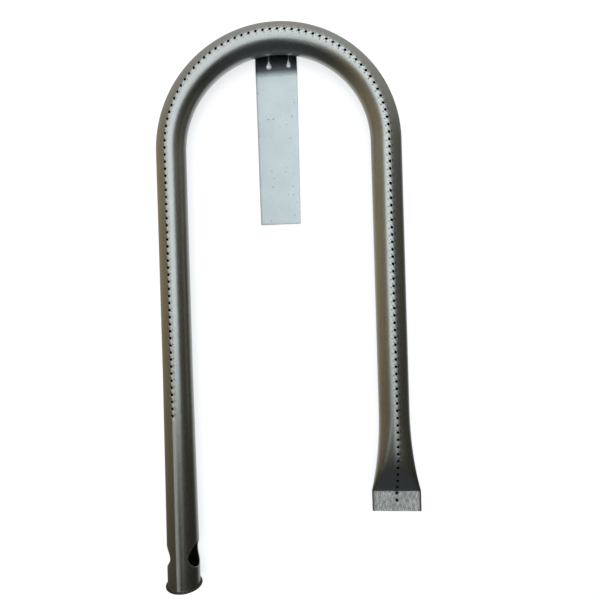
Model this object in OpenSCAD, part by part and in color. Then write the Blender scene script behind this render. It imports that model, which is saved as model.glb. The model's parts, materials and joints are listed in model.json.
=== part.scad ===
// U-shaped tube burner: one bent, pierced steel tube with a flared gas inlet and a pinched end,
// and a flat support strip tack-welded under the bend. Millimetres, Z up, flame ports on top.
// The origin is the centre of the bounding box at its lowest level; +Y points at the bend.

/* [Tube] */
// outside diameter of the bent tube
tube_d = 25.4; // [19:0.1:32]
// wall thickness of the tube
tube_wall = 1; // [0.6:0.1:1.5]
// radius of the bend, measured to the tube's centre line
bend_radius = 92; // [70:1:130]
// length of the inlet leg, from the bend to the gas mouth
inlet_leg = 374; // [300:1:450]
// length of the closed leg, from the bend to the end of the pinched tab
closed_leg = 309; // [250:0.5:374]

/* [Gas inlet] */
// outside diameter of the swelled end that takes the gas valve
inlet_d = 27.7; // [26:0.1:30]
// distance from the mouth at which the swelling begins
swell_from = 184; // [120:1:200]
// distance from the mouth at which the swelling is complete, short of the air hole
swell_to = 14; // [8:0.5:14.5]
// outside diameter of the lip turned out at the mouth
lip_d = 31.2; // [30.5:0.1:34]
// diameter of the air hole drilled across the tube
air_hole_d = 20.8; // [12:0.1:22]
// height of the air hole's middle above the tube's centre line
air_hole_rise = 0.9; // [0:0.1:1.5]
// distance from the mouth to the middle of the air hole
air_hole_from = 27.5; // [22:0.5:30]

/* [Pinched end] */
// length of the tab that is pressed flat
tab_length = 17; // [12:0.5:25]
// width of the flattened end
tab_width = 40.4; // [36:0.1:42]
// width of the face pressed between the two side beads
pressed_width = 36.4; // [30:0.1:38]
// length over which the round tube becomes flat
pinch_length = 70.5; // [50:0.5:90]

/* [Flame ports] */
// diameter of one flame port
port_d = 2.4; // [1.5:0.1:3]
// number of flame ports in the row
port_count = 138; // [60:1:150]
// distance from the mouth to the first port
port_start = 149; // [120:1:200]
// distance from the last port to the end of the pinched tab
port_stop = 9.2; // [4:0.1:100]
// angle by which the row of ports leans outwards from the crown of the tube
port_lean = 6; // [0:1:30]

/* [Support strip] */
// thickness of the strip
strip_t = 1.5; // [1:0.1:3]
// width of the strip where it leaves the tube
strip_root_w = 37.2; // [25:0.1:45]
// width of the strip at its free end
strip_end_w = 35.2; // [25:0.1:45]
// reach of the strip's free end past the centre of the bend
strip_reach = 63.7; // [30:0.1:150]
// length of strip that runs on under the tube, past its centre line
strip_tail = 6; // [2:0.5:12]

/* [Tack welds] */
// distance of each tack weld from the middle of the strip
tack_x = [-6.3, 11];
// radius of the bulging foot of each tack weld
tack_r = [2.5, 2.1];
// distance from the tube's centre line to the middle of the tack's foot
tack_from = 17.6; // [15:0.1:20]

/* [Hidden] */
tube_r = tube_d / 2;
inlet_r = inlet_d / 2;
lip_r = lip_d / 2;
bore_r = inlet_r - tube_wall;
// the lip turns out through a quarter circle of this inside radius
lip_curl = 0.6;
lip_h = lip_curl + tube_wall;
mid_x = (lip_r - tab_width / 2) / 2;
mouth_y = -(inlet_leg + bend_radius + tube_r) / 2;
bend_y = mouth_y + inlet_leg;
axis_z = lip_r;
round_len = closed_leg - tab_length - pinch_length;
straight_len = inlet_leg - swell_from;
strip_z = axis_z - tube_r - strip_t;
// the flattened end: beads along both sides are thicker than the pressed face between them
bead_r = 1.6;
tab_t = 2 * tube_wall;
// powers by which the pinched tube spreads sideways and sinks, slowly at first
spread_power = 2.4;
sink_power = 3.2;
// solid metal closes the last stretch of the pinch, where both walls meet
closed_part = 0.01;
pinch_rings = 14;
ring_points = 48;
// the first pinched ring stands this far proud of the round tube, so that its flats clear the skin
ring_proud = 0.06;
port_clear = 3;
left_run = inlet_leg - port_start;
bend_run = PI * bend_radius;
right_run = closed_leg - port_stop;
port_pitch = (left_run + bend_run + right_run) / (port_count - 1);
eps = 0.01;
$fn = 96;

// half-width and half-height of the pinched tube, from round (v = 0) to flat (v = 1)
function first_r(v) = tube_r + ring_proud * (1 - v);
function pinch_a(v) = first_r(v) + (tab_width / 2 - tube_r) * pow(v, spread_power);
function pinch_b(v) = first_r(v) + (bead_r - tube_r) * pow(v, sink_power);
function corner(v) = 2 / (2 + 3 * v * v);
function signed_pow(c, p) = sign(c) * pow(abs(c), p);

// ring of points on the pinched tube, drawn in by one wall thickness for the inside
function ring(v, wall, y) = [
    for (i = [0 : ring_points - 1])
        let (t = 360 * i / ring_points)
            [(pinch_a(v) - wall) * signed_pow(cos(t), corner(v)), y,
             (pinch_b(v) - wall) * signed_pow(sin(t), corner(v))]
];

// closed skin through a stack of rings
module skin(rings) {
    n = ring_points;
    m = len(rings);
    points = [for (r = rings) each r];
    sides = [
        for (k = [0 : m - 2], i = [0 : n - 1])
            let (a = k * n + i, b = k * n + (i + 1) % n)
                each [[b, a, a + n], [b + n, b, a + n]]
    ];
    first = [for (i = [0 : n - 1]) i];
    last = [for (i = [0 : n - 1]) m * n - 1 - i];
    polyhedron(points, concat([first, last], sides));
}

// round pipe along -Y from y = 0, with its own radius at each end
module pipe(length, r1, r2) {
    rotate([90, 0, 0])
        difference() {
            cylinder(h = length, r1 = r1, r2 = r2);
            translate([0, 0, -eps])
                cylinder(h = length + 2 * eps, r1 = r1 - tube_wall, r2 = r2 - tube_wall);
        }
}

module bend() {
    rotate_extrude(angle = 180)
        translate([bend_radius, 0])
            difference() {
                circle(r = tube_r);
                circle(r = tube_r - tube_wall);
            }
}

// lip turned out at the mouth, standing on the mouth plane and rising along +Y
module lip() {
    rotate([-90, 0, 0])
        rotate_extrude() {
            intersection() {
                translate([inlet_r + lip_curl, lip_h])
                    difference() {
                        circle(r = lip_h);
                        circle(r = lip_curl);
                    }
                translate([bore_r, 0])
                    square([lip_h, lip_h]);
            }
            translate([inlet_r + lip_curl, 0])
                square([lip_r - inlet_r - lip_curl, tube_wall]);
        }
}

module pinch() {
    difference() {
        skin([for (k = [0 : pinch_rings])
            ring(k / pinch_rings, 0, -pinch_length * k / pinch_rings)]);
        skin([for (k = [0 : pinch_rings])
            let (v = (1 - closed_part) * k / pinch_rings)
                ring(v, tube_wall, (k == 0 ? 1 : 0) * eps - pinch_length * v)]);
    }
}

// pressed face and the two beads that the press leaves along its sides
module tab() {
    translate([-pressed_width / 2, -tab_length, -tab_t / 2])
        cube([pressed_width, tab_length, tab_t]);
    for (side = [-1, 1])
        translate([side * (tab_width / 2 - bead_r), 0, 0])
            rotate([90, 0, 0])
                cylinder(h = tab_length, r = bead_r);
}

// tool that pierces one port from the tube's axis out through its crown
module port_tool(lean) {
    rotate([0, lean, 0])
        cylinder(h = tube_r + port_clear, d = port_d, $fn = 24);
}

module port_tools() {
    for (i = [0 : port_count - 1]) {
        s = i * port_pitch;
        if (s < left_run)
            translate([-bend_radius, s - left_run, 0])
                port_tool(-port_lean);
        else if (s < left_run + bend_run)
            rotate(180 - 180 * (s - left_run) / bend_run)
                translate([bend_radius, 0, 0])
                    port_tool(port_lean);
        else
            translate([bend_radius, left_run + bend_run - s, 0])
                port_tool(port_lean);
    }
}

module air_hole_tool() {
    translate([-bend_radius, air_hole_from - inlet_leg, air_hole_rise])
        rotate([0, 90, 0])
            cylinder(h = 2 * lip_d, d = air_hole_d, center = true);
}

// one tube, drawn about the centre of its bend
module tube_shell() {
    bend();
    translate([-bend_radius, 0, 0]) {
        pipe(straight_len, tube_r, tube_r);
        translate([0, -straight_len, 0])
            pipe(swell_from - swell_to, tube_r, inlet_r);
        translate([0, -(inlet_leg - swell_to), 0])
            pipe(swell_to - lip_h, inlet_r, inlet_r);
        translate([0, -inlet_leg, 0])
            lip();
    }
    translate([bend_radius, 0, 0]) {
        pipe(round_len, tube_r, tube_r);
        translate([0, -round_len, 0])
            pinch();
        translate([0, -round_len - pinch_length, 0])
            tab();
    }
}

module at_bend() {
    translate([mid_x, bend_y, axis_z])
        children();
}

module burner_tube() {
    color([0.62, 0.62, 0.58])
        at_bend()
            difference() {
                tube_shell();
                port_tools();
                air_hole_tool();
            }
}

module support_strip() {
    root_y = bend_radius + strip_tail;
    color([0.76, 0.79, 0.79])
        translate([mid_x, bend_y, strip_z])
            linear_extrude(strip_t)
                polygon([
                    [-strip_root_w / 2, root_y], [strip_root_w / 2, root_y],
                    [strip_end_w / 2, -strip_reach], [-strip_end_w / 2, -strip_reach]
                ]);
}

// each tack bulges on the strip's face and narrows as it runs in under the tube
module tack(x, r) {
    foot_y = bend_radius - tack_from;
    top = -tube_r;
    translate([x, foot_y, top]) {
        sphere(r = r);
        rotate([-90, 0, 0])
            cylinder(h = tack_from - 5, r1 = 0.85 * r, r2 = 0.6 * r);
    }
}

module tack_welds() {
    color([0.7, 0.7, 0.68])
        at_bend()
            difference() {
                for (i = [0 : len(tack_x) - 1])
                    tack(tack_x[i], tack_r[i]);
                translate([-tube_d, 0, -tube_r - 2 * tube_d])
                    cube([2 * tube_d, bend_radius, 2 * tube_d]);
                rotate_extrude(angle = 180)
                    translate([bend_radius, 0])
                        circle(r = tube_r);
            }
}

burner_tube();
support_strip();
tack_welds();
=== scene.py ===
import json
import math

import bmesh
import bpy
import numpy as np
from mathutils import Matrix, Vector


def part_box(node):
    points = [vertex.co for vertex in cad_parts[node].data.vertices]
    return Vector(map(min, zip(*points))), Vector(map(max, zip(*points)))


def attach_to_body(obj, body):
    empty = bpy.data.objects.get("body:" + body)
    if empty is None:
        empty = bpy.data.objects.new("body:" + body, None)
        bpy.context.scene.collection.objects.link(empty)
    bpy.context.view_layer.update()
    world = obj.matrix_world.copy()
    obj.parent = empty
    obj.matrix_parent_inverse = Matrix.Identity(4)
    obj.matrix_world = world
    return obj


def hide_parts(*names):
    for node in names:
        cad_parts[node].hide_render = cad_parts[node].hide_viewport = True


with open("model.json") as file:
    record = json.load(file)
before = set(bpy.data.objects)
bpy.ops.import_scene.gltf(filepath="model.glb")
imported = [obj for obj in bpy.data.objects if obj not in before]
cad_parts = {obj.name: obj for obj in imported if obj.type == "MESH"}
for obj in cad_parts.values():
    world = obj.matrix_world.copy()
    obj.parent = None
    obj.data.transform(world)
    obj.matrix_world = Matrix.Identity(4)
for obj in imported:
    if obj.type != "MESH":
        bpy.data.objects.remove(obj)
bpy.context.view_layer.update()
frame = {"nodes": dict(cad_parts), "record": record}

# ---------------------------------------------------------------- sizes, in millimetres

MM = 0.001
TUBE_R = 12.7
WALL = 1.0
INLET_R = 13.85
SWELL_TO = 14.0
SWELL_FROM = 184.0
LIP_CURL = 0.6
LIP_H = LIP_CURL + WALL
AIR_HOLE_R = 10.4
AIR_HOLE_AT = 27.5
AIR_HOLE_RISE = 0.9
TAB_HALF = 20.2
TAB_LENGTH = 17.0
PRESSED_HALF = 18.2
BEAD_R = 1.6
PINCH_LENGTH = 70.5
SPREAD_POWER = 2.4
SINK_POWER = 3.2
PORT_R = 1.2
PORT_COUNT = 138
PORT_START = 149.0
PORT_STOP = 9.2
PORT_LEAN = math.radians(6)
STRIP_END_W = 35.2


def in_mm(corners):
    return [np.array(corner) / MM for corner in corners]


tube_low, tube_high = in_mm(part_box("burner_tube"))
LIP_R = (tube_high[2] - tube_low[2]) / 2
AXIS_Z = tube_low[2] + LIP_R
LEFT_X = tube_low[0] + LIP_R
RIGHT_X = tube_high[0] - TAB_HALF
BEND_R = (RIGHT_X - LEFT_X) / 2
BEND_X = (LEFT_X + RIGHT_X) / 2
BEND_Y = tube_high[1] - BEND_R - TUBE_R
INLET_LEG = BEND_Y - tube_low[1]
tab_mount = next(m for m in frame["record"]["mounts"] if m["name"] == "tab_rest")
CLOSED_LEG = BEND_Y - tab_mount["pos_m"][1] / MM + TAB_LENGTH / 2

# distances along the tube's centre line, from the mouth
BEND_FROM = INLET_LEG
BEND_TO = BEND_FROM + math.pi * BEND_R
TUBE_END = BEND_TO + CLOSED_LEG
CREASE = TUBE_END - TAB_LENGTH
PINCH_FROM = CREASE - PINCH_LENGTH
HOLLOW_END = CREASE - 0.7
PORTS = np.linspace(PORT_START, TUBE_END - PORT_STOP, PORT_COUNT)

# ---------------------------------------------------------------- the tube's skin

# corner power of a round section, and how much a flat one adds to it
ROUND = 2.0
SQUARER = 3
# band of the skin that holds the ports, and the steps round one ring
STRIP_HALF = 1.7
STRIP_STEPS = 6
SIDE_STEPS = 48
RING = STRIP_STEPS + SIDE_STEPS
DENSE = 1440
TOP_SPAN = 1.4
HALVINGS = 40
# the tab's crease, and the slope between its pressed face and its beads
CREASE_HALF = 0.1
BEAD_SLOPE = 0.35
# distance between rings on plain tube, between two ports, and on the tab
PLAIN_STEP = 2.2
PORT_STEP = 0.85
TAB_STEP = 1.0
# the tab's cut end is rounded by this much at these stops
END_STOPS = [TUBE_END - 0.15, TUBE_END - 0.05, TUBE_END]
END_TRIM = [0, 0.03, 0.15]


def centre_line(s):
    """Centre of the tube at distance s from the mouth, and the unit vector pointing out of the U."""
    s = np.asarray(s, float)
    angle = math.pi - np.clip((s - BEND_FROM) / BEND_R, 0, math.pi)
    out = np.stack([np.cos(angle), np.sin(angle)], -1)
    past = np.minimum(s - BEND_FROM, 0) - np.maximum(s - BEND_TO, 0)
    centre = np.array([BEND_X, BEND_Y]) + BEND_R * out
    centre[..., 1] += past
    return centre, out


def half_sizes(s, depth):
    """Half width, half height and corner power of the section at s, drawn in by depth."""
    s = np.asarray(s, float)
    swell = np.clip((SWELL_FROM - s) / (SWELL_FROM - SWELL_TO), 0, 1)
    v = np.clip((s - PINCH_FROM) / PINCH_LENGTH, 0, 1)
    radius = TUBE_R + (INLET_R - TUBE_R) * swell
    wide = radius + (TAB_HALF - TUBE_R) * v**SPREAD_POWER - depth
    high = radius + (BEAD_R - TUBE_R) * v**SINK_POWER - depth
    return wide, high, ROUND + SQUARER * v * v


def on_section(phase, wide, high, power):
    """Point (out, up) of a section at a phase counted from its crown towards the outside of the U."""
    c, n = np.cos(phase), np.sin(phase)
    reach = (np.abs(n) ** power + np.abs(c) ** power) ** (-1 / power)
    return wide * reach * n, high * reach * c


def across(out, up):
    """Sideways distance of a point from the plane of the leaning ports."""
    return out * math.cos(PORT_LEAN) - up * math.sin(PORT_LEAN)


def press(points):
    """Flattens the tab's face between its two side beads, from the crease to the end."""
    s, out, up = points[..., 0], points[..., 1], points[..., 2]
    past = np.clip((s - CREASE + CREASE_HALF) / (2 * CREASE_HALF), 0, 1)
    inside = np.clip((PRESSED_HALF - np.abs(out)) / BEAD_SLOPE, 0, 1)
    inside = inside * inside * (3 - 2 * inside)
    pressed = np.sign(up) * np.minimum(np.abs(up), WALL)
    points[..., 2] = up + (pressed - up) * past * inside


def ring_phases(wide, high, power):
    """Phases of one ring: even steps across the port strip, then round the rest by length and turn."""
    top = np.linspace(-TOP_SPAN, TOP_SPAN, DENSE)
    lateral = across(*on_section(top, wide, high, power))
    strip = np.interp(np.linspace(-STRIP_HALF, STRIP_HALF, STRIP_STEPS + 1), lateral, top)
    side = np.linspace(strip[-1], strip[0] + 2 * math.pi, DENSE)
    out, up = on_section(side, wide, high, power)
    step = np.stack([np.diff(out), np.diff(up)])
    length = np.hypot(*step)
    heading = np.unwrap(np.arctan2(step[1], step[0]))
    turn = np.concatenate([[0], np.abs(np.diff(heading))])
    measure = np.concatenate([[0], np.cumsum(length / length.sum() + turn / turn.sum())])
    rest = np.interp(np.linspace(0, measure[-1], SIDE_STEPS + 1)[1:-1], measure, side)
    return np.concatenate([strip, rest])


def place(s, out, up):
    """Points in the row frame, in millimetres, from their place on the straightened tube."""
    centre, side = centre_line(s)
    out = np.asarray(out, float)
    flat = centre + side * out[..., None]
    return np.concatenate([flat, np.asarray(up, float)[..., None] + AXIS_Z], -1)


def skin_rows(stops, depth):
    """Straightened points (s, out, up) of a ring of the skin at each stop."""
    rows = []
    for s in stops:
        sizes = half_sizes(s, depth)
        out, up = on_section(ring_phases(*sizes), *sizes)
        rows.append(np.stack([np.full(RING, s), out, up], -1))
    return np.array(rows)


def on_strip(s, lateral, depth):
    """Straightened points of the skin beside the port plane, found by halving along the port's axis."""
    wide, high, power = half_sizes(s, depth)
    low, top = np.zeros_like(lateral), np.full_like(lateral, 2 * TUBE_R)
    c, n = math.cos(PORT_LEAN), math.sin(PORT_LEAN)
    for _ in range(HALVINGS):
        mid = (low + top) / 2
        out, up = lateral * c + mid * n, mid * c - lateral * n
        within = np.abs(out / wide) ** power + np.abs(up / high) ** power < 1
        low, top = np.where(within, mid, low), np.where(within, top, mid)
    return np.stack([s, out, up], -1)


class Net:
    """Vertices on the straightened tube, and the quads between them."""

    def __init__(self):
        self.points, self.quads, self.caps, self.count = [], [], [], 0
        self.rim, self.inside = [], []

    def add(self, points, rim=0.0, inside=0.0):
        points = np.asarray(points, float)
        shape = points.shape[:-1]
        amount = int(np.prod(shape))
        self.points.append(points.reshape(-1, 3))
        self.rim.append(np.full(amount, rim))
        self.inside.append(np.full(amount, inside))
        numbers = np.arange(self.count, self.count + amount).reshape(shape)
        self.count += amount
        return numbers

    def bridge(self, first, second):
        """Quads between two closed rings of vertex numbers."""
        quads = [first, np.roll(first, -1, -1), np.roll(second, -1, -1), second]
        self.quads.append(np.stack(quads, -1).reshape(-1, 4))

    def sheet(self, grid, open_cells):
        """Quads of a grid of closed rings, apart from the cells that stay open."""
        after = np.roll(grid, -1, 1)
        quads = np.stack([grid[:-1], after[:-1], after[1:], grid[1:]], -1)
        self.quads.append(quads[~open_cells])


def block_border(grid, row, rows, column, columns):
    """Vertex numbers round a block of a grid, as one closed ring."""
    one = grid[row, column : column + columns]
    two = grid[row : row + rows, column + columns]
    three = grid[row + rows, column + columns : column : -1]
    four = grid[row + rows : row : -1, column]
    return np.concatenate([one, two, three, four])


def stops_between(first, last, step):
    """Evenly spaced stops from first up to and including last."""
    return list(np.linspace(first, last, max(1, round((last - first) / step)) + 1))


HOLE_BLOCK_HALF = 14.0
HOLE_ROWS = 14
HOLE_COLUMNS = 17
HOLE_FIRST_COLUMNS = {1: STRIP_STEPS + 2, -1: STRIP_STEPS + 27}
PORT_EDGE = 0.05
PORT_RIM_REACH = 1.45
PORT_BEVEL_REACH = 1.33
HOLE_EDGE = 0.12
HOLE_RIM = 0.5
BURR = 0.1
BURR_AT = 1.5
BURR_SPREAD = 0.5
LIP_EDGE = 0.3
LIP_SHADE = 0.85


def tube_stops():
    """Every ring's distance from the mouth, close together where the shape needs it."""
    hole_from, hole_to = AIR_HOLE_AT - HOLE_BLOCK_HALF, AIR_HOLE_AT + HOLE_BLOCK_HALF
    stops = [LIP_H, LIP_H + 0.15] + stops_between(LIP_H + 0.6, hole_from, PLAIN_STEP)
    stops += list(np.linspace(hole_from, hole_to, HOLE_ROWS + 1))
    stops += stops_between(hole_to, PORTS[0] - STRIP_HALF, PLAIN_STEP)
    for port in PORTS:
        stops += list(np.linspace(port - STRIP_HALF, port + STRIP_HALF, STRIP_STEPS + 1))
    for before, after in zip(PORTS[:-1], PORTS[1:]):
        stops += stops_between(before + STRIP_HALF, after - STRIP_HALF, PORT_STEP)
    stops += [CREASE - CREASE_HALF, CREASE + CREASE_HALF - 0.05]
    stops += stops_between(PORTS[-1] + STRIP_HALF, TUBE_END - 0.4, TAB_STEP)
    stops += END_STOPS
    return np.unique(np.round(stops, 4))


def port_rings(net, outer, inner, rows, inner_rows):
    """Opens every port: a rounded rim outside, a straight wall and a rim or a floor inside."""
    turns = 4 * STRIP_STEPS
    angle = math.radians(-135) - np.arange(turns) * 2 * math.pi / turns
    along, aside = np.sin(angle), -np.cos(angle)
    for port in PORTS:
        row = int(np.argmin(np.abs(rows - (port - STRIP_HALF))))
        ring = block_border(outer, row, STRIP_STEPS, 0, STRIP_STEPS)
        # rim values set how strongly each ring of the port's edge gets the painted glint
        for reach, rim in ((PORT_RIM_REACH, 0.2), (PORT_BEVEL_REACH, 0.6), (PORT_R + PORT_EDGE, 1.0)):
            points = on_strip(port + reach * along, reach * aside, 0.0)
            press(points)
            ahead = net.add(points, rim=rim)
            net.bridge(ring, ahead)
            ring = ahead
        lean = np.array([0, math.sin(PORT_LEAN), math.cos(PORT_LEAN)])
        mouth = on_strip(port + PORT_R * along, PORT_R * aside, 0.0)
        press(mouth)
        mouth -= lean * PORT_EDGE
        ahead = net.add(mouth, rim=1.0, inside=0.5)
        net.bridge(ring, ahead)
        ring = ahead
        if port + STRIP_HALF < inner_rows[-1]:
            inner_row = int(np.argmin(np.abs(inner_rows - (port - STRIP_HALF))))
            for reach, rise in ((PORT_R, PORT_EDGE), (PORT_R + PORT_EDGE, 0), (PORT_RIM_REACH, 0)):
                points = on_strip(port + reach * along, reach * aside, WALL) + lean * rise
                ahead = net.add(points, inside=1.0)
                net.bridge(ring, ahead)
                ring = ahead
            net.bridge(ring, block_border(inner, inner_row, STRIP_STEPS, 0, STRIP_STEPS))
        else:
            floor = mouth.copy()
            floor[:, 2] = 0.0
            ahead = net.add(floor, inside=1.0)
            net.bridge(ring, ahead)
            net.caps.append(list(ahead))


def air_hole_rings(net, outer, inner, rows):
    """Opens the cross-drilled air hole on both sides of the inlet."""
    row = int(np.argmin(np.abs(rows - (AIR_HOLE_AT - HOLE_BLOCK_HALF))))
    for side, column in HOLE_FIRST_COLUMNS.items():
        border = block_border(outer, row, HOLE_ROWS, column, HOLE_COLUMNS)
        inner_border = block_border(inner, row, HOLE_ROWS, column, HOLE_COLUMNS)
        at = np.concatenate(net.points)[border]
        rise = np.arctan2(at[:, 2], side * at[:, 1])
        angle = np.arctan2(at[:, 0] - AIR_HOLE_AT, rise * INLET_R - AIR_HOLE_RISE)

        def rim_place(reach):
            s = AIR_HOLE_AT + reach * np.sin(angle)
            radius = half_sizes(s, 0.0)[0]
            return s, np.arcsin((AIR_HOLE_RISE + reach * np.cos(angle)) / radius)

        def rim_points(s, lift, depth):
            radius = half_sizes(s, depth)[0]
            return np.stack([s, side * radius * np.cos(lift), radius * np.sin(lift)], -1)

        ring = border
        near = rim_place(AIR_HOLE_R + HOLE_RIM)
        # rim values set how strongly each ring round the air hole gets the painted glint
        for share, rim in ((0.35, 0.0), (0.7, 0.0), (1.0, 0.4)):
            s = at[:, 0] + (near[0] - at[:, 0]) * share
            lift = rise + (near[1] - rise) * share
            ahead = net.add(rim_points(s, lift, 0.0), rim=rim)
            net.bridge(ring, ahead)
            ring = ahead
        burr = BURR * np.exp(-((angle - BURR_AT) / BURR_SPREAD) ** 2)
        # the painted glint is strongest on the air hole's edge
        for reach, depth, rim in (
            (AIR_HOLE_R + HOLE_EDGE, -burr, 1.0),
            (AIR_HOLE_R, HOLE_EDGE, 1.0),
            (AIR_HOLE_R, WALL - HOLE_EDGE, 0.3),
            (AIR_HOLE_R + HOLE_EDGE, WALL, 0.0),
        ):
            s, lift = rim_place(reach)
            ahead = net.add(rim_points(s, lift, depth), rim=rim, inside=float(np.mean(depth) > 0.5))
            net.bridge(ring, ahead)
            ring = ahead
        net.bridge(ring, inner_border)


def lip_rings(net, outer_ring, inner_ring, phases):
    """Turns the outer skin round the lip and back into the bore."""
    curl_r = INLET_R + LIP_CURL
    profile = [(curl_r - LIP_CURL * math.cos(t), LIP_H - LIP_CURL * math.sin(t))
               for t in np.linspace(0, math.pi / 2, 6)[1:]]
    profile += [(LIP_R - LIP_EDGE + LIP_EDGE * math.sin(t), WALL - LIP_EDGE + LIP_EDGE * math.cos(t))
                for t in np.linspace(0, math.pi / 2, 5)]
    profile += [(LIP_R - LIP_EDGE + LIP_EDGE * math.cos(t), LIP_EDGE - LIP_EDGE * math.sin(t))
                for t in np.linspace(0, math.pi / 2, 5)]
    profile += [(curl_r - LIP_H * math.cos(t), LIP_H - LIP_H * math.sin(t))
                for t in np.linspace(math.pi / 2, 0, 10)[:-1]]
    ring = outer_ring
    for number, (radius, s) in enumerate(profile):
        share = (number + 1) / (len(profile) + 1)
        phase = phases[0] + (phases[1] - phases[0]) * share
        points = np.stack([np.full(RING, s), radius * np.sin(phase), radius * np.cos(phase)], -1)
        ahead = net.add(points, inside=LIP_SHADE)
        net.bridge(ring, ahead)
        ring = ahead
    net.bridge(ring, inner_ring)


def cut_end(net, ring, points):
    """Closes the tab's cut end, with the seam between its two walls and a fold at each side."""
    share = np.clip(np.abs(points[:, 1]) / TAB_HALF, 0, 1)
    fold_at, fold_spread = 0.9, 0.045
    seam_half, fold_half, seam_depth = 0.05, 0.3, 0.6
    fold = np.exp(-(((share - fold_at) / fold_spread) ** 2))
    seam = seam_half + fold_half * fold
    for s, size in ((TUBE_END, 1.0), (TUBE_END - seam_depth, 0.8)):
        out = points[:, 1] * 0.95
        up = np.sign(points[:, 2]) * np.minimum(np.abs(points[:, 2]) * 0.8, seam * size)
        inner = np.stack([np.full(RING, s), out, up], -1)
        ahead = net.add(inner, inside=1.0 if s < TUBE_END else 0.4)
        net.bridge(ring, ahead)
        ring = ahead
    net.caps.append(list(ring))


def tube_net():
    """The whole pierced tube as one closed net."""
    net = Net()
    rows = tube_stops()
    last_rows = [HOLLOW_END - 0.9, HOLLOW_END]
    inner_rows = np.concatenate([rows[rows < PORTS[-2] - PORT_R - 1.9], last_rows])
    outside = skin_rows(rows, 0.0)
    press(outside)
    trim = np.interp(rows, END_STOPS, END_TRIM)
    outside[:, :, 1] -= np.sign(outside[:, :, 1]) * trim[:, None]
    outside[:, :, 2] -= np.sign(outside[:, :, 2]) * trim[:, None]
    inside = skin_rows(inner_rows, WALL)
    outer = net.add(outside)
    inner = net.add(inside, inside=1.0)

    def open_cells(stops, ports):
        cells = np.zeros((len(stops) - 1, RING), bool)
        for port in ports:
            row = int(np.argmin(np.abs(stops - (port - STRIP_HALF))))
            cells[row : row + STRIP_STEPS, :STRIP_STEPS] = True
        row = int(np.argmin(np.abs(stops - (AIR_HOLE_AT - HOLE_BLOCK_HALF))))
        for column in HOLE_FIRST_COLUMNS.values():
            cells[row : row + HOLE_ROWS, column : column + HOLE_COLUMNS] = True
        return cells

    net.sheet(outer, open_cells(rows, PORTS))
    through = PORTS[PORTS + STRIP_HALF < inner_rows[-1]]
    net.sheet(inner, open_cells(inner_rows, through))
    port_rings(net, outer, inner, rows, inner_rows)
    air_hole_rings(net, outer, inner, rows)
    mouth_sizes = half_sizes(LIP_H, 0.0), half_sizes(LIP_H, WALL)
    lip_rings(net, outer[0], inner[0], [ring_phases(*sizes) for sizes in mouth_sizes])
    cut_end(net, outer[-1], outside[-1])
    net.caps.append(list(inner[-1]))
    return net


def mesh_object(name, points, faces):
    mesh = bpy.data.meshes.new(name)
    mesh.from_pydata(points, [], faces)
    mesh.update()
    thing = bpy.data.objects.new(name, mesh)
    bpy.context.scene.collection.objects.link(thing)
    return thing


def tidy_mesh(thing):
    """Drops unused points and turns every face outwards."""
    work = bmesh.new()
    work.from_mesh(thing.data)
    loose = [v for v in work.verts if not v.link_faces]
    bmesh.ops.delete(work, geom=loose, context="VERTS")
    bmesh.ops.recalc_face_normals(work, faces=work.faces)
    for face in work.faces:
        face.smooth = True
    work.to_mesh(thing.data)
    work.free()


def point_attribute(thing, name, kind, field, values):
    attribute = thing.data.attributes.new(name, kind, "POINT")
    attribute.data.foreach_set(field, np.asarray(values, np.float32).ravel())


# painted highlight along the crown, a paler line: its half width, soft edge and place beside the ports
CREST_HALF = 1.3
CREST_SOFT = 0.5
CREST_ASIDE = -0.8
CREST_END = PINCH_FROM + 50
CREST_FADE = 20


def build_tube():
    net = tube_net()
    straight = np.concatenate(net.points)
    placed = place(straight[:, 0], straight[:, 1], straight[:, 2]) * MM
    faces = np.concatenate(net.quads).tolist() + net.caps
    tube = mesh_object("burner_tube_shell", placed.tolist(), faces)
    point_attribute(tube, "straight", "FLOAT_VECTOR", "vector", straight * MM)
    point_attribute(tube, "rim", "FLOAT", "value", np.concatenate(net.rim))
    point_attribute(tube, "inside", "FLOAT", "value", np.concatenate(net.inside))
    on_tab = (straight[:, 0] > CREASE) & (np.abs(straight[:, 1]) < PRESSED_HALF + 0.2)
    point_attribute(tube, "pressed", "FLOAT", "value", on_tab & (straight[:, 0] < TUBE_END - 0.1))
    # painted highlight: the crest mask marks a paler line along the crown, beside the ports, fading before
    # the tab
    aside = across(straight[:, 1], straight[:, 2])
    crest = np.clip((CREST_HALF - np.abs(aside - CREST_ASIDE)) / CREST_SOFT, 0, 1)
    crest *= straight[:, 2] > 0
    crest *= np.clip((CREST_END - straight[:, 0]) / CREST_FADE, 0, 1)
    point_attribute(tube, "crest", "FLOAT", "value", crest)
    tidy_mesh(tube)
    return tube


# ---------------------------------------------------------------- support strip and tack welds


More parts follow.
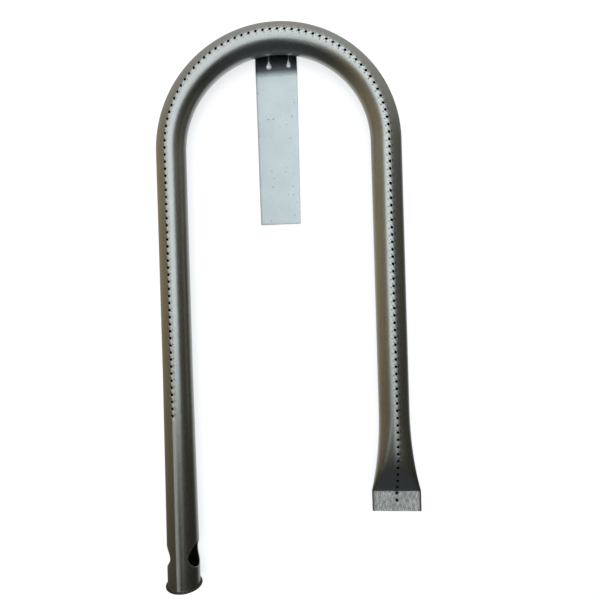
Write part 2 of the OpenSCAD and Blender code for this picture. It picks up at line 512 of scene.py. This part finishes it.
def build_strip():
    """Sheared plate with rounded edges and slightly rough long sides."""
    low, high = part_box("support_strip")
    root, tip = high.x - low.x, STRIP_END_W * MM
    long_steps, wide_steps = 80, 16
    roughness, side_inset, bevel_width = 0.12 * MM, 0.15 * MM, 0.18 * MM
    noise = np.random.default_rng(7)
    wobble = np.cumsum(noise.normal(0, 1, (long_steps + 1, 2)), 0)
    wobble = (wobble - wobble.mean(0)) / np.abs(wobble).max() * roughness
    middle = (low.x + high.x) / 2
    points = []
    for up in (low.z, high.z):
        for i in range(long_steps + 1):
            share = i / long_steps
            half = (tip + (root - tip) * share) / 2
            for j in range(wide_steps + 1):
                side = 2 * j / wide_steps - 1
                nick = wobble[i, int(side > 0)] * abs(side) ** 6
                inset = side_inset * abs(side) ** 6
                x = middle + side * (half - inset) + nick
                points.append((x, low.y + share * (high.y - low.y), up))
    width = wide_steps + 1
    layer = (long_steps + 1) * width
    faces = []
    for i in range(long_steps):
        for j in range(wide_steps):
            a = i * width + j
            faces.append((a, a + width, a + width + 1, a + 1))
            faces.append((layer + a, layer + a + 1, layer + a + width + 1, layer + a + width))
    rim = [i * width for i in range(long_steps + 1)]
    rim += [long_steps * width + j for j in range(1, width)]
    rim += [i * width + wide_steps for i in range(long_steps - 1, -1, -1)]
    rim += list(range(wide_steps - 1, 0, -1))
    for k, a in enumerate(rim):
        b = rim[(k + 1) % len(rim)]
        faces.append((a, b, layer + b, layer + a))
    strip = mesh_object("strip_plate", points, faces)
    tidy_mesh(strip)
    bevel = strip.modifiers.new("edges", "BEVEL")
    bevel.width = bevel_width
    bevel.segments = 3
    bevel.limit_method = "ANGLE"
    bevel.angle_limit = math.radians(50)
    return strip


def weld_boxes():
    """Boxes of the two tack welds, left and right."""
    points = np.array([v.co for v in frame["nodes"]["tack_welds"].data.vertices])
    split = (points[:, 0].min() + points[:, 0].max()) / 2
    halves = points[points[:, 0] < split], points[points[:, 0] >= split]
    return [(half.min(0), half.max(0)) for half in halves]


def build_weld(name, low, high):
    """Drop of weld metal: a round foot on the strip, with fine ripples, running in under the tube."""
    radius = (high[0] - low[0]) / 2
    middle, base = (low[0] + high[0]) / 2, low[2]
    foot = low[1] + radius
    tip = (BEND_Y + BEND_R - TUBE_R + 0.5) * MM
    length_steps, round_steps = 40, 20
    taper, flatness, into_tube = 0.92, 0.85, 0.05 * MM
    ripple, ripple_pitch = 0.025, 0.9 * MM
    points = []
    for i in range(length_steps + 1):
        y = low[1] + (high[1] - low[1]) * (i / length_steps) ** 1.2
        if y < foot:
            reach = math.sqrt(max(radius**2 - (foot - y) ** 2, 1e-12))
        else:
            reach = radius * (1 - taper * min((y - foot) / (tip - foot), 1))
        reach *= 1 + ripple * math.sin(2 * math.pi * (y - foot) / ripple_pitch)
        for j in range(round_steps + 1):
            turn = math.pi * j / round_steps
            x = middle + reach * math.cos(turn)
            out = math.hypot(x - BEND_X * MM, y - BEND_Y * MM) - BEND_R * MM
            under = AXIS_Z * MM - math.sqrt(max((TUBE_R * MM) ** 2 - out**2, 0))
            up = base + reach * flatness * math.sin(turn)
            if abs(out) < TUBE_R * MM:
                up = min(up, under + into_tube)
            points.append((x, y, up))
    width = round_steps + 1
    faces = []
    for i in range(length_steps):
        for j in range(round_steps):
            a = i * width + j
            faces.append((a, a + 1, a + width + 1, a + width))
        faces.append((i * width, (i + 1) * width, (i + 1) * width + round_steps, i * width + round_steps))
    faces.append(tuple(range(width)))
    faces.append(tuple(length_steps * width + j for j in range(width)))
    weld = mesh_object(name, points, faces)
    tidy_mesh(weld)
    return weld


# ---------------------------------------------------------------- materials


def node(tree, kind, place_at, **values):
    """Adds a shader node and sets its plain properties."""
    made = tree.nodes.new(kind)
    made.location = place_at
    for key, value in values.items():
        setattr(made, key, value)
    return made


def new_material(name):
    material = bpy.data.materials.new(name)
    material.use_nodes = True
    return material, material.node_tree, material.node_tree.nodes["Principled BSDF"]


def coordinates(tree, attribute, scale, turn=(0, 0, 0)):
    """Attribute or object coordinates, stretched and turned to set a grain's direction."""
    mapping = node(tree, "ShaderNodeMapping", (-1100, 0))
    mapping.inputs["Scale"].default_value = scale
    mapping.inputs["Rotation"].default_value = turn
    if attribute:
        source = node(tree, "ShaderNodeAttribute", (-1300, 0), attribute_name=attribute)
        tree.links.new(source.outputs["Vector"], mapping.inputs["Vector"])
    else:
        source = node(tree, "ShaderNodeTexCoord", (-1300, 0))
        tree.links.new(source.outputs["Object"], mapping.inputs["Vector"])
    return mapping.outputs["Vector"]


def noise(tree, vector, scale, detail=4.0, rough=0.55):
    made = node(tree, "ShaderNodeTexNoise", (-900, 0))
    made.inputs["Scale"].default_value = scale
    made.inputs["Detail"].default_value = detail
    made.inputs["Roughness"].default_value = rough
    tree.links.new(vector, made.inputs["Vector"])
    return made.outputs["Fac"]


def remap(tree, value, low, high, to_low, to_high):
    made = node(tree, "ShaderNodeMapRange", (-700, 0))
    made.inputs["From Min"].default_value = low
    made.inputs["From Max"].default_value = high
    made.inputs["To Min"].default_value = to_low
    made.inputs["To Max"].default_value = to_high
    tree.links.new(value, made.inputs["Value"])
    return made.outputs["Result"]


def blend_colour(tree, factor, first, second, mode="MIX"):
    """Mixes two colours; each is a plain colour or another node's output."""
    made = node(tree, "ShaderNodeMix", (-500, 0), data_type="RGBA", blend_type=mode)
    for value, socket in ((factor, made.inputs[0]), (first, made.inputs[6]), (second, made.inputs[7])):
        if isinstance(value, bpy.types.NodeSocket):
            tree.links.new(value, socket)
        else:
            socket.default_value = value
    return made.outputs[2]


def combine(tree, operation, first, second):
    made = node(tree, "ShaderNodeMath", (-600, 0), operation=operation)
    for value, socket in ((first, made.inputs[0]), (second, made.inputs[1])):
        if isinstance(value, bpy.types.NodeSocket):
            tree.links.new(value, socket)
        else:
            socket.default_value = value
    return made.outputs[0]


def attribute_value(tree, name):
    return node(tree, "ShaderNodeAttribute", (-1300, -300), attribute_name=name).outputs["Fac"]


def bump(tree, height, strength, distance, below=None):
    made = node(tree, "ShaderNodeBump", (-300, -300))
    made.inputs["Strength"].default_value = strength
    made.inputs["Distance"].default_value = distance
    tree.links.new(height, made.inputs["Height"])
    if below:
        tree.links.new(below, made.inputs["Normal"])
    return made.outputs["Normal"]


def tube_finish():
    """Satin rolled steel: draw lines, grain, straw tint, painted glint on the hole rims, painted highlight
    along the crown, scratched tab, dull inside.
    """
    material, tree, shader = new_material("tube_finish")
    lengthwise = coordinates(tree, "straight", (0.06, 1.0, 1.0))
    slanting = coordinates(tree, "straight", (0.22, 1.0, 1.0), (0, 0, 0.8))
    evenly = coordinates(tree, "straight", (1.0, 1.0, 1.0))
    draw_lines = noise(tree, lengthwise, 2600, 3)
    grain = noise(tree, evenly, 1900, 3, 0.7)
    clouds = noise(tree, evenly, 60, 5)
    scratches = noise(tree, slanting, 1300, 4, 0.75)
    cloudy = remap(tree, clouds, 0.35, 0.7, 0, 1)
    tint = blend_colour(tree, cloudy, (0.63, 0.63, 0.615, 1), (0.60, 0.585, 0.54, 1))
    speckle = blend_colour(tree, remap(tree, grain, 0.42, 0.62, 0.0, 0.5), tint, (0.40, 0.39, 0.355, 1))
    rim = attribute_value(tree, "rim")
    # painted glint: the rim value lifts hole edges towards a pale colour
    rim_glint_colour = blend_colour(tree, remap(tree, rim, 0, 1, 0, 0.6), speckle, (0.78, 0.79, 0.78, 1))
    pressed = attribute_value(tree, "pressed")
    scored = remap(tree, scratches, 0.42, 0.62, 0.0, 1.0)
    tab = blend_colour(tree, scored, (0.42, 0.43, 0.42, 1), (0.93, 0.96, 0.96, 1))
    grainy = remap(tree, grain, 0.4, 0.6, 0.6, 1.0)
    # painted highlight: the crest mask lifts the colour to a paler line along the crown
    crest = combine(tree, "MULTIPLY", attribute_value(tree, "crest"), grainy)
    crown_highlight_colour = blend_colour(tree, crest, rim_glint_colour, (0.80, 0.82, 0.82, 1))
    skin = blend_colour(tree, pressed, crown_highlight_colour, tab)
    inside = attribute_value(tree, "inside")
    colour = blend_colour(tree, inside, skin, (0.045, 0.042, 0.038, 1))
    tree.links.new(colour, shader.inputs["Base Color"])
    rough = remap(tree, draw_lines, 0.3, 0.7, 0.25, 0.34)
    rough = combine(tree, "ADD", rough, remap(tree, grain, 0.3, 0.7, -0.02, 0.05))
    rough = combine(tree, "ADD", rough, remap(tree, inside, 0, 1, 0, 0.3))
    rough = combine(tree, "ADD", rough, remap(tree, pressed, 0, 1, 0, 0.28))
    rough = combine(tree, "ADD", rough, remap(tree, crest, 0, 1, 0, 0.24))
    tree.links.new(rough, shader.inputs["Roughness"])
    on_crest = combine(tree, "MULTIPLY", crest, 0.1)
    on_tab = combine(tree, "MULTIPLY", pressed, 0.2)
    scattering = combine(tree, "MAXIMUM", on_crest, on_tab)
    tree.links.new(combine(tree, "SUBTRACT", 1.0, scattering), shader.inputs["Metallic"])
    normal = bump(tree, draw_lines, 0.15, 0.00004)
    normal = bump(tree, grain, 0.3, 0.00005, normal)
    scored_deep = combine(tree, "MULTIPLY", scratches, pressed)
    normal = bump(tree, scored_deep, 0.5, 0.00015, normal)
    tree.links.new(normal, shader.inputs["Normal"])
    return material


def strip_finish():
    """Matte mill-finish sheet: fine grain, small stains, dark specks and painted shade on the root by the
    tube.
    """
    material, tree, shader = new_material("strip_finish")
    evenly = coordinates(tree, None, (1.0, 1.0, 1.0))
    grain = noise(tree, evenly, 1300, 3, 0.7)
    clouds = noise(tree, evenly, 45, 4)
    specks = noise(tree, evenly, 420, 1)
    cloudy = remap(tree, clouds, 0.35, 0.65, 0, 1)
    base = blend_colour(tree, cloudy, (0.72, 0.76, 0.77, 1), (0.65, 0.70, 0.71, 1))
    base = blend_colour(tree, remap(tree, grain, 0.38, 0.62, 0, 0.45), base, (0.54, 0.57, 0.575, 1))
    base = blend_colour(tree, remap(tree, specks, 0.72, 0.78, 0, 0.9), base, (0.2, 0.19, 0.17, 1))
    place_along = node(tree, "ShaderNodeSeparateXYZ", (-1000, 300))
    tree.links.new(evenly, place_along.inputs[0])
    ragged = combine(tree, "ADD", place_along.outputs["Y"], remap(tree, grain, 0.3, 0.7, -0.0006, 0.0006))
    # painted shade: the strip darkens towards the tube, standing in for the tube's shadow and dark
    # reflection on it
    inner_edge = (BEND_Y + BEND_R - TUBE_R) * MM
    shade_from, shade_full = 14.2 * MM, 8.2 * MM
    # painted shade colour, strongest right by the tube
    root_shade = remap(tree, ragged, inner_edge - shade_from, inner_edge - shade_full, 0, 0.84)
    base = blend_colour(tree, root_shade, base, (0.05, 0.056, 0.064, 1))
    tree.links.new(base, shader.inputs["Base Color"])
    shader.inputs["Metallic"].default_value = 1.0
    tree.links.new(remap(tree, grain, 0.3, 0.7, 0.34, 0.46), shader.inputs["Roughness"])
    tree.links.new(bump(tree, grain, 0.3, 0.00005), shader.inputs["Normal"])
    return material


def weld_glint_finish():
    """As-welded metal, lifted to near-white as a painted glint, with a faint uneven skin."""
    material, tree, shader = new_material("weld_glint_finish")
    evenly = coordinates(tree, None, (1.0, 1.0, 1.0))
    skin = noise(tree, evenly, 1500, 4)
    uneven = remap(tree, skin, 0.35, 0.65, 0, 1)
    # painted glint: a near-white, mostly non-metal colour keeps the weld drops bright in the tube's shade
    base = blend_colour(tree, uneven, (0.88, 0.90, 0.90, 1), (0.74, 0.75, 0.74, 1))
    tree.links.new(base, shader.inputs["Base Color"])
    shader.inputs["Metallic"].default_value = 0.12
    tree.links.new(remap(tree, skin, 0.3, 0.7, 0.3, 0.45), shader.inputs["Roughness"])
    tree.links.new(bump(tree, skin, 0.3, 0.00008), shader.inputs["Normal"])
    return material


def attach(piece, material, cad_node):
    piece.data.materials.append(material)
    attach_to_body(piece, "root")
    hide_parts(cad_node)


# ---------------------------------------------------------------- stage, light and camera


FLOOR_HALF = 4
LAMP_HEIGHT = 1.1
FILL_HEIGHT = 2.0
PANEL_COLOUR = (0.80, 0.92, 1.0)


def build_floor():
    signs = (-1, -1), (1, -1), (1, 1), (-1, 1)
    corners = [(x * FLOOR_HALF, y * FLOOR_HALF, 0) for x, y in signs]
    floor = mesh_object("floor", corners, [(0, 1, 2, 3)])
    material, tree, shader = new_material("floor_pale")
    shader.inputs["Base Color"].default_value = (0.42, 0.42, 0.43, 1)
    shader.inputs["Emission Color"].default_value = (0.97, 0.985, 1.0, 1)
    shader.inputs["Emission Strength"].default_value = 0.72
    shader.inputs["Roughness"].default_value = 0.9
    shader.inputs["Specular IOR Level"].default_value = 0.0
    floor.data.materials.append(material)
    floor.visible_glossy = False


def area_light(name, centre, size, power, colour):
    light = bpy.data.lights.new(name, "AREA")
    light.shape = "RECTANGLE"
    light.size, light.size_y = size
    light.energy = power
    light.color = colour
    lamp = bpy.data.objects.new(name, light)
    lamp.location = centre
    lamp.visible_camera = False
    bpy.context.scene.collection.objects.link(lamp)
    return lamp


def build_lights():
    """One soft panel over the bend, two narrow ones in front, and a fill that the metal doesn't mirror."""
    bend = Vector((BEND_X, BEND_Y, 0)) * MM
    panels = (
        ("soft_panel", (0.075, 0.535), (0.9, 1.93), 6.3),
        ("left_strip_light", (-0.47, -0.72), (0.12, 0.5), 0.13),
        ("front_panel", (0.22, -0.74), (0.24, 0.3), 0.06),
    )
    for name, from_bend, size, power in panels:
        area_light(name, bend + Vector((*from_bend, LAMP_HEIGHT)), size, power, PANEL_COLOUR)
    fill = area_light("floor_fill", bend + Vector((0, 0, FILL_HEIGHT)), (3, 3), 40, (1, 1, 1))
    fill.visible_glossy = False


def build_world():
    """Dim room: brown to the left, dark to the right, near black in front, greyer behind and below."""
    world = bpy.data.worlds.new("room")
    bpy.context.scene.world = world
    world.use_nodes = True
    tree = world.node_tree
    source = node(tree, "ShaderNodeTexCoord", (-900, 0))
    split = node(tree, "ShaderNodeSeparateXYZ", (-700, 0))
    tree.links.new(source.outputs["Generated"], split.inputs[0])
    side = remap(tree, split.outputs["X"], -0.8, 0.8, 0, 1)
    raised = remap(tree, split.outputs["Z"], -0.3, 0.5, 0, 0.5)
    brown = blend_colour(tree, raised, (0.34, 0.28, 0.165, 1), (0.12, 0.11, 0.08, 1))
    colour = blend_colour(tree, side, brown, (0.065, 0.063, 0.05, 1))
    front = remap(tree, split.outputs["Y"], 0.0, -0.62, 0, 1)
    colour = blend_colour(tree, front, colour, (0.014, 0.014, 0.013, 1))
    far_front = remap(tree, split.outputs["Y"], -0.62, -0.8, 0, 1)
    colour = blend_colour(tree, far_front, colour, (0.044, 0.05, 0.059, 1))
    back = remap(tree, split.outputs["Y"], 0.2, 0.9, 0, 1)
    colour = blend_colour(tree, back, colour, (0.42, 0.43, 0.41, 1))
    below = remap(tree, split.outputs["Z"], -0.55, -0.93, 0, 1)
    shaded = remap(tree, split.outputs["Y"], 0.2, 0.45, 0, 1)
    ground = blend_colour(tree, shaded, (0.60, 0.64, 0.65, 1), (0.22, 0.24, 0.27, 1))
    colour = blend_colour(tree, below, colour, ground)
    tree.links.new(colour, tree.nodes["Background"].inputs["Color"])


def build_camera():
    camera = bpy.data.cameras.new("camera")
    camera.lens = 28.4
    camera.sensor_width = 36
    camera.clip_start, camera.clip_end = 0.01, 50
    holder = bpy.data.objects.new("camera", camera)
    bend = Vector((BEND_X, BEND_Y, AXIS_Z)) * MM
    holder.location = bend + Vector((0.04921, -0.12962, 0.4))
    holder.rotation_euler = (-0.00505, 0.08265, -0.030)
    bpy.context.scene.collection.objects.link(holder)
    bpy.context.scene.camera = holder


build_camera()
build_lights()
build_world()
build_floor()
bpy.context.scene.view_settings.view_transform = "Standard"
attach(build_tube(), tube_finish(), "burner_tube")
attach(build_strip(), strip_finish(), "support_strip")
weld_material = weld_glint_finish()
for weld_name, weld_box in zip(("tack_weld_left", "tack_weld_right"), weld_boxes()):
    attach(build_weld(weld_name, *weld_box), weld_material, "tack_welds")
